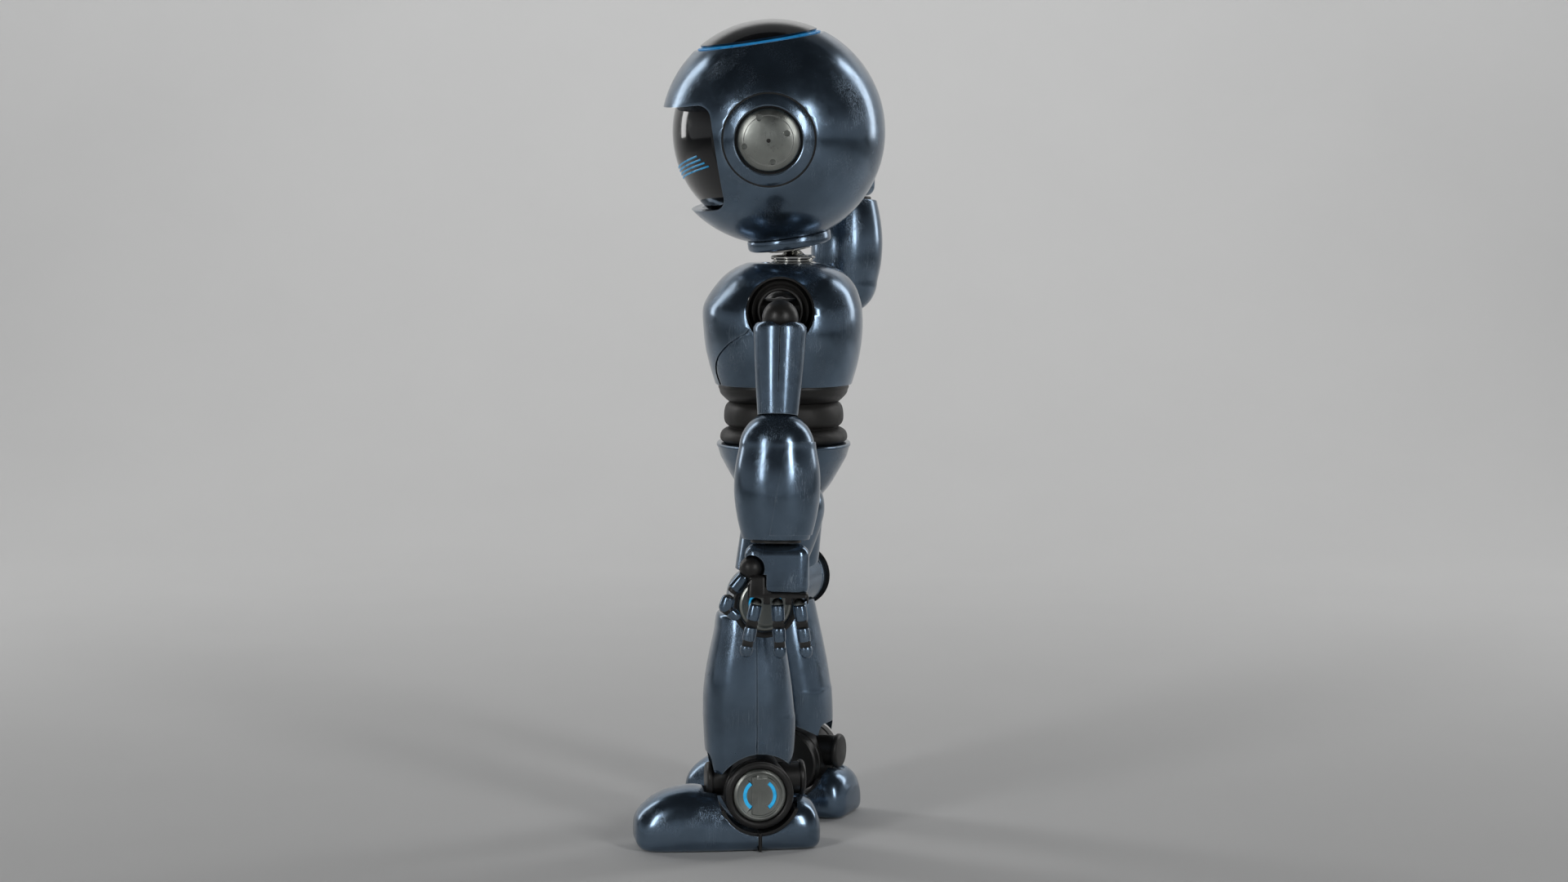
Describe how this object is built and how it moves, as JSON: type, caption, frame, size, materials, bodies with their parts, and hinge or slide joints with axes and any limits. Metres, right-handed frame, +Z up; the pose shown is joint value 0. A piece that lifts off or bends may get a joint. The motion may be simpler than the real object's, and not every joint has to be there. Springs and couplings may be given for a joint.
{
  "type": "humanoid robot",
  "caption": "Small two-legged humanoid robot with a round visored head, jointed arms and hands, bellows waist and split shoe-like feet, standing with one arm raised",
  "frame": {"origin": "middle of the bounding box at floor level, between the feet", "axes": "+Z up, robot faces -Y, its left side is +X; rest pose is the standing pose of the picture"},
  "size_m": [0.3362, 0.1864, 0.5945],
  "materials": {
    "navy_paint": "dark navy metallic paint over moulded shells, fine hairline scratches, bright worn edges",
    "black_plastic": "black satin plastic",
    "black_rubber": "black matt rubber",
    "gloss_black": "polished black plastic",
    "steel": "brushed steel",
    "chrome": "bright chrome",
    "cyan_light": "lit cyan diffuser"
  },
  "bodies": {
    "pelvis": {"pelvis_shell": "navy_paint", "waist_bellows": "black_rubber"},
    "chest": {"chest_shell": "navy_paint", "chest_ring": "black_plastic", "battery": "black_plastic", "shoulder_boot_left": "black_rubber", "shoulder_boot_right": "black_rubber"},
    "neck": {"neck": "chrome"},
    "head": {"head_shell": "navy_paint", "visor": "gloss_black", "crown_cap": "gloss_black", "crown_light_ring": "cyan_light", "ear_disc_left": "steel", "ear_disc_right": "steel", "neck_collar": "navy_paint", "head_core": "black_plastic"},
    "shoulder_left": {"shoulder_ball_left": "black_plastic"},
    "upper_arm_left": {"upper_arm_left": "navy_paint"},
    "forearm_left": {"forearm_left": "navy_paint"},
    "hand_left": {"hand_shell_left": "navy_paint", "palm_left": "black_plastic"},
    "finger_1_left": {"finger_1_base_left": "navy_paint"},
    "fingertip_1_left": {"finger_1_tip_left": "navy_paint"},
    "finger_2_left": {"finger_2_base_left": "navy_paint"},
    "fingertip_2_left": {"finger_2_tip_left": "navy_paint"},
    "finger_3_left": {"finger_3_base_left": "navy_paint"},
    "fingertip_3_left": {"finger_3_tip_left": "navy_paint"},
    "thumb_left": {"thumb_base_left": "navy_paint"},
    "thumb_tip_left": {"thumb_tip_left": "navy_paint"},
    "shoulder_right": {"shoulder_ball_right": "black_plastic"},
    "upper_arm_right": {"upper_arm_right": "navy_paint"},
    "forearm_right": {"forearm_right": "navy_paint"},
    "hand_right": {"hand_shell_right": "navy_paint", "palm_right": "black_plastic"},
    "finger_1_right": {"finger_1_base_right": "navy_paint"},
    "fingertip_1_right": {"finger_1_tip_right": "navy_paint"},
    "finger_2_right": {"finger_2_base_right": "navy_paint"},
    "fingertip_2_right": {"finger_2_tip_right": "navy_paint"},
    "finger_3_right": {"finger_3_base_right": "navy_paint"},
    "fingertip_3_right": {"finger_3_tip_right": "navy_paint"},
    "thumb_right": {"thumb_base_right": "navy_paint"},
    "thumb_tip_right": {"thumb_tip_right": "navy_paint"},
    "hip_left": {"hip_yoke_left": "black_plastic"},
    "thigh_left": {"thigh_left": "navy_paint", "knee_drum_left": "navy_paint", "knee_disc_left": "steel"},
    "shin_left": {"shin_shell_left": "navy_paint"},
    "ankle_left": {"ankle_drum_left": "black_plastic", "ankle_disc_left": "steel"},
    "foot_left": {"foot_toe_left": "navy_paint", "foot_heel_left": "navy_paint"},
    "hip_right": {"hip_yoke_right": "black_plastic"},
    "thigh_right": {"thigh_right": "navy_paint", "knee_drum_right": "navy_paint", "knee_disc_right": "steel"},
    "shin_right": {"shin_shell_right": "navy_paint"},
    "ankle_right": {"ankle_drum_right": "black_plastic", "ankle_disc_right": "steel"},
    "foot_right": {"foot_toe_right": "navy_paint", "foot_heel_right": "navy_paint"}
  },
  "joints": [
    {"name": "waist_yaw", "type": "hinge", "parent": "pelvis", "child": "chest", "pos_m": [0.02928, 0.01581, 0.3172], "axis": [0, 0, 1], "range_deg": [-12, 12]},
    {"name": "head_yaw", "type": "hinge", "parent": "chest", "child": "neck", "pos_m": [0.02928, 0.02241, 0.414], "axis": [0, 0, 1], "range_deg": [-30, 30]},
    {"name": "head_pitch", "type": "hinge", "parent": "neck", "child": "head", "pos_m": [0.02926, 0.02071, 0.42766], "axis": [0.9956, -0.0348, -0.0872], "range_deg": [-7, 7]},
    {"name": "shoulder_pitch_left", "type": "hinge", "parent": "chest", "child": "shoulder_left", "pos_m": [0.12228, 0.01321, 0.382], "axis": [-1, 0, 0], "range_deg": [-35, 80]},
    {"name": "shoulder_roll_left", "type": "hinge", "parent": "shoulder_left", "child": "upper_arm_left", "pos_m": [0.12228, 0.01321, 0.382], "axis": [0, -0.9997, 0.0258], "range_deg": [-1, 60]},
    {"name": "elbow_left", "type": "hinge", "parent": "upper_arm_left", "child": "forearm_left", "pos_m": [0.13863, 0.01087, 0.2915], "axis": [-0.9971, -0.001, -0.0759], "range_deg": [0, 45]},
    {"name": "wrist_left", "type": "hinge", "parent": "forearm_left", "child": "hand_left", "pos_m": [0.14364, 0.01004, 0.22569], "axis": [-0.0759, 0.0127, 0.997], "range_deg": [-2, 25]},
    {"name": "finger_1_knuckle_left", "type": "hinge", "parent": "hand_left", "child": "finger_1_left", "pos_m": [0.14686, -0.0037, 0.18358], "axis": [0.0145, 0.9791, -0.2027], "range_deg": [0, 12]},
    {"name": "finger_1_joint_left", "type": "hinge", "parent": "finger_1_left", "child": "fingertip_1_left", "pos_m": [0.14795, -0.00668, 0.16923], "axis": [0.0145, 0.9791, -0.2027], "range_deg": [0, 9.6]},
    {"name": "finger_2_knuckle_left", "type": "hinge", "parent": "hand_left", "child": "finger_2_left", "pos_m": [0.14686, 0.0113, 0.18339], "axis": [-0.0046, 0.9988, 0.0482], "range_deg": [0, 12]},
    {"name": "finger_2_joint_left", "type": "hinge", "parent": "finger_2_left", "child": "fingertip_2_left", "pos_m": [0.14797, 0.01201, 0.16875], "axis": [-0.0046, 0.9988, 0.0482], "range_deg": [0, 9.6]},
    {"name": "finger_3_knuckle_left", "type": "hinge", "parent": "hand_left", "child": "finger_3_left", "pos_m": [0.14686, 0.0264, 0.1832], "axis": [-0.0119, 0.9896, 0.1434], "range_deg": [0, 12]},
    {"name": "finger_3_joint_left", "type": "hinge", "parent": "finger_3_left", "child": "fingertip_3_left", "pos_m": [0.14796, 0.02852, 0.1687], "axis": [-0.0119, 0.9896, 0.1434], "range_deg": [0, 9.6]},
    {"name": "thumb_swing_left", "type": "hinge", "parent": "hand_left", "child": "thumb_left", "pos_m": [0.14946, -0.00698, 0.2087], "axis": [0, 0.9999, -0.0127], "range_deg": [0, 15]},
    {"name": "thumb_joint_left", "type": "hinge", "parent": "thumb_left", "child": "thumb_tip_left", "pos_m": [0.15083, -0.02181, 0.19091], "axis": [0.0478, 0.7691, -0.6373], "range_deg": [0, 12]},
    {"name": "shoulder_pitch_right", "type": "hinge", "parent": "chest", "child": "shoulder_right", "pos_m": [-0.06372, 0.01321, 0.382], "axis": [-1, 0, 0], "range_deg": [-30, 20]},
    {"name": "shoulder_roll_right", "type": "hinge", "parent": "shoulder_right", "child": "upper_arm_right", "pos_m": [-0.06372, 0.01321, 0.382], "axis": [0, -0.3294, 0.9442], "range_deg": [-20, 20]},
    {"name": "elbow_right", "type": "hinge", "parent": "upper_arm_right", "child": "forearm_right", "pos_m": [-0.13828, 0.0641, 0.39975], "axis": [-0.5597, -0.8286, 0.0102], "range_deg": [0, 30]},
    {"name": "wrist_right", "type": "hinge", "parent": "forearm_right", "child": "hand_right", "pos_m": [-0.14078, 0.0666, 0.46566], "axis": [0.0379, -0.0379, -0.9986], "range_deg": [-30, 30]},
    {"name": "finger_1_knuckle_right", "type": "hinge", "parent": "hand_right", "child": "finger_1_right", "pos_m": [-0.13146, 0.06084, 0.50869], "axis": [0.8198, -0.5555, -0.1389], "range_deg": [0, 50]},
    {"name": "finger_1_joint_right", "type": "hinge", "parent": "finger_1_right", "child": "fingertip_1_right", "pos_m": [-0.12969, 0.05982, 0.52325], "axis": [0.8198, -0.5555, -0.1389], "range_deg": [0, 40]},
    {"name": "finger_2_knuckle_right", "type": "hinge", "parent": "hand_right", "child": "finger_2_right", "pos_m": [-0.14388, 0.06921, 0.5079], "axis": [0.824, -0.5552, 0.1135], "range_deg": [0, 50]},
    {"name": "finger_2_joint_right", "type": "hinge", "parent": "finger_2_right", "child": "fingertip_2_right", "pos_m": [-0.14518, 0.07027, 0.52251], "axis": [0.824, -0.5552, 0.1135], "range_deg": [0, 40]},
    {"name": "finger_3_knuckle_right", "type": "hinge", "parent": "hand_right", "child": "finger_3_right", "pos_m": [-0.15638, 0.07765, 0.50711], "axis": [0.8117, -0.5457, 0.2082], "range_deg": [0, 50]},
    {"name": "finger_3_joint_right", "type": "hinge", "parent": "finger_3_right", "child": "fingertip_3_right", "pos_m": [-0.15884, 0.07948, 0.52148], "axis": [0.8117, -0.5457, 0.2082], "range_deg": [0, 40]},
    {"name": "thumb_swing_right", "type": "hinge", "parent": "hand_right", "child": "thumb_right", "pos_m": [-0.12502, 0.06162, 0.48407], "axis": [0.8278, -0.5585, 0.0526], "range_deg": [0, 18]},
    {"name": "thumb_joint_right", "type": "hinge", "parent": "thumb_right", "child": "thumb_tip_right", "pos_m": [-0.11362, 0.05414, 0.50284], "axis": [0.6672, -0.4579, -0.5875], "range_deg": [0, 14.4]},
    {"name": "hip_roll_left", "type": "hinge", "parent": "pelvis", "child": "hip_left", "pos_m": [0.07028, 0.01681, 0.243], "axis": [0, 1, 0], "range_deg": [-3, 3]},
    {"name": "hip_pitch_left", "type": "hinge", "parent": "hip_left", "child": "thigh_left", "pos_m": [0.07028, 0.01681, 0.243], "axis": [-1, 0, 0], "range_deg": [-18, 22]},
    {"name": "knee_left", "type": "hinge", "parent": "thigh_left", "child": "shin_left", "pos_m": [0.08828, -0.00119, 0.178], "axis": [0.9903, 0.1392, 0], "range_deg": [0, 35]},
    {"name": "ankle_pitch_left", "type": "hinge", "parent": "shin_left", "child": "ankle_left", "pos_m": [0.08928, -0.00519, 0.041], "axis": [-0.9903, -0.1392, 0], "range_deg": [-10, 10]},
    {"name": "ankle_roll_left", "type": "hinge", "parent": "ankle_left", "child": "foot_left", "pos_m": [0.08928, -0.00519, 0.048], "axis": [-0.1392, 0.9903, 0], "range_deg": [-4, 4]},
    {"name": "hip_roll_right", "type": "hinge", "parent": "pelvis", "child": "hip_right", "pos_m": [-0.01172, 0.01681, 0.243], "axis": [0, 1, 0], "range_deg": [-3, 3]},
    {"name": "hip_pitch_right", "type": "hinge", "parent": "hip_right", "child": "thigh_right", "pos_m": [-0.01172, 0.01681, 0.243], "axis": [-1, 0, 0], "range_deg": [-18, 22]},
    {"name": "knee_right", "type": "hinge", "parent": "thigh_right", "child": "shin_right", "pos_m": [-0.02762, 0.01891, 0.178], "axis": [0.9336, -0.3584, 0], "range_deg": [0, 35]},
    {"name": "ankle_pitch_right", "type": "hinge", "parent": "shin_right", "child": "ankle_right", "pos_m": [-0.02872, 0.02581, 0.041], "axis": [-0.9336, 0.3584, 0], "range_deg": [-10, 10]},
    {"name": "ankle_roll_right", "type": "hinge", "parent": "ankle_right", "child": "foot_right", "pos_m": [-0.02872, 0.02581, 0.048], "axis": [0.3584, 0.9336, 0], "range_deg": [-4, 4]}
  ],
  "couplings": [
    {"joint": "finger_1_knuckle_left", "follows": "finger_2_knuckle_left", "ratio": 1},
    {"joint": "finger_3_knuckle_left", "follows": "finger_2_knuckle_left", "ratio": 1},
    {"joint": "finger_1_joint_left", "follows": "finger_2_knuckle_left", "ratio": 0.8},
    {"joint": "finger_2_joint_left", "follows": "finger_2_knuckle_left", "ratio": 0.8},
    {"joint": "finger_3_joint_left", "follows": "finger_2_knuckle_left", "ratio": 0.8},
    {"joint": "thumb_joint_left", "follows": "thumb_swing_left", "ratio": 0.8},
    {"joint": "finger_1_knuckle_right", "follows": "finger_2_knuckle_right", "ratio": 1},
    {"joint": "finger_3_knuckle_right", "follows": "finger_2_knuckle_right", "ratio": 1},
    {"joint": "finger_1_joint_right", "follows": "finger_2_knuckle_right", "ratio": 0.8},
    {"joint": "finger_2_joint_right", "follows": "finger_2_knuckle_right", "ratio": 0.8},
    {"joint": "finger_3_joint_right", "follows": "finger_2_knuckle_right", "ratio": 0.8},
    {"joint": "thumb_joint_right", "follows": "thumb_swing_right", "ratio": 0.8}
  ]
}
